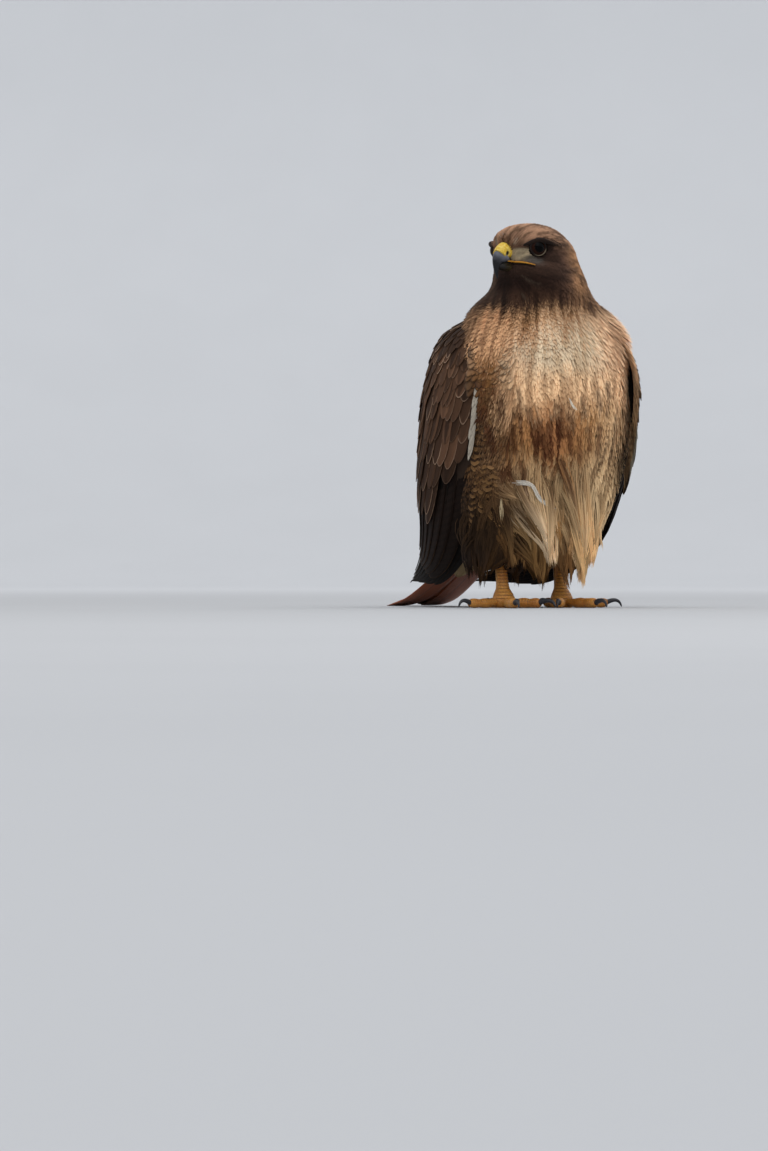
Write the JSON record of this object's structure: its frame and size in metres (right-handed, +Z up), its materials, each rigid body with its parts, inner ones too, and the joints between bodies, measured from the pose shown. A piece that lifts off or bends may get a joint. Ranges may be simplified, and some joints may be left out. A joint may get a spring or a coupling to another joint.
{
  "type": "red tailed hawk",
  "caption": "Life-size still model of a perching hawk that stands upright, head turned to its right, wings folded and the tips of its tail laid on the floor.",
  "frame": {"origin": "middle of the bounding box's bottom, on the floor", "axes": "+Z up, -Y the way the breast faces, +X the bird's left side"},
  "size_m": [0.2158, 0.3502, 0.3663],
  "materials": {
    "head_plumage": "brown feathers, matt",
    "breast_plumage": "cream and buff feathers with rufous and dark marks, matt",
    "thigh_plumage": "buff feathers, long and loose, matt",
    "wing_plumage": "dark brown feathers with pale edges, satin",
    "tail_plumage": "rufous feathers with a dark band near the tip, satin",
    "leg_skin": "orange-yellow scales, satin",
    "cere_skin": "yellow wax-like skin, satin",
    "horn": "dark slate horn, semi-gloss",
    "eye_glass": "dark brown eye, gloss"
  },
  "bodies": {
    "root": {"head": "head_plumage", "neck": "head_plumage", "torso": "breast_plumage", "tail": "tail_plumage", "wing_left": "wing_plumage", "thigh_left": "thigh_plumage", "tarsus_left": "leg_skin", "toe_left_1": "leg_skin", "claw_left_1": "horn", "toe_left_2": "leg_skin", "claw_left_2": "horn", "toe_left_3": "leg_skin", "claw_left_3": "horn", "toe_left_4": "leg_skin", "claw_left_4": "horn", "eye_left": "eye_glass", "wing_right": "wing_plumage", "thigh_right": "thigh_plumage", "tarsus_right": "leg_skin", "toe_right_1": "leg_skin", "claw_right_1": "horn", "toe_right_2": "leg_skin", "claw_right_2": "horn", "toe_right_3": "leg_skin", "claw_right_3": "horn", "toe_right_4": "leg_skin", "claw_right_4": "horn", "eye_right": "eye_glass", "cere": "cere_skin", "bill_upper": "horn", "bill_lower": "horn"}
  },
  "joints": []
}
